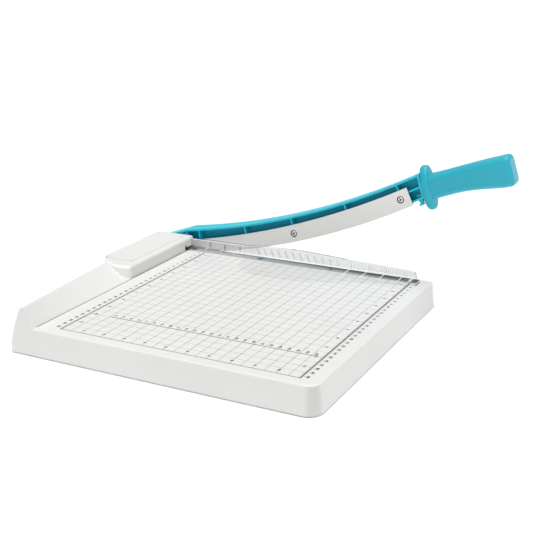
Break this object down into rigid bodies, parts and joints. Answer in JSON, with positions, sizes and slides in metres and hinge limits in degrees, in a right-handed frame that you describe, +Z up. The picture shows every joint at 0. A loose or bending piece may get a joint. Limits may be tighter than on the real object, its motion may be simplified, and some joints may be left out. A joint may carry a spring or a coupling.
{
  "type": "paper trimmer",
  "caption": "Free-standing guillotine paper trimmer: ruled deck with a rear fence, clear finger guard and a hinged cutting arm with a handle and a lock hook.",
  "frame": {"origin": "bottom centre of the bounding box with the arm at rest, at table level", "axes": "+X toward the cutting side, +Y toward the fence and the arm's pivot (the user stands at -Y), +Z up from the table"},
  "size_m": [0.3508, 0.4772, 0.1851],
  "materials": {
    "grey_plastic": "satin",
    "ground_steel": "ground",
    "screw_steel": "bright zinc",
    "bracket_steel": "zinc plated",
    "bolt_chrome": "polished",
    "spring_steel": "drawn wire",
    "bush_brass": "turned",
    "foot_rubber": "matt",
    "teal_plastic": "satin",
    "dark_teal_plastic": "satin",
    "handle_plastic": "satin",
    "clear_plastic": "clear"
  },
  "bodies": {
    "base": {"base_shell": "grey_plastic", "housing_cover": "grey_plastic", "fixed_blade": "ground_steel", "fixed_blade_screws": "screw_steel", "finger_guard": "clear_plastic", "pivot_bracket": "bracket_steel", "bracket_screws": "screw_steel", "pivot_bolt": "bolt_chrome", "head_washer": "bolt_chrome", "pivot_spring": "spring_steel", "spring_seat": "bracket_steel", "pivot_nut": "screw_steel", "rubber_feet": "foot_rubber", "foot_screws": "screw_steel", "lock_keeper": "screw_steel"},
    "arm": {"cutting_arm": "teal_plastic", "cutting_blade": "ground_steel", "blade_screws": "screw_steel", "blade_nuts": "screw_steel", "pivot_bushing": "bush_brass", "handle_grip": "handle_plastic", "grip_screw": "screw_steel", "lock_pin": "screw_steel"},
    "lock": {"lock_hook": "dark_teal_plastic"}
  },
  "joints": [
    {"name": "arm_hinge", "type": "hinge", "parent": "base", "child": "arm", "pos_m": [0.15305, 0.19557, 0.036], "axis": [-1, 0, 0], "range_deg": [-17, 43]},
    {"name": "lock_swing", "type": "hinge", "parent": "arm", "child": "lock", "pos_m": [0.15305, -0.12987, 0.12964], "axis": [1, 0, 0], "range_deg": [0, 18]}
  ]
}
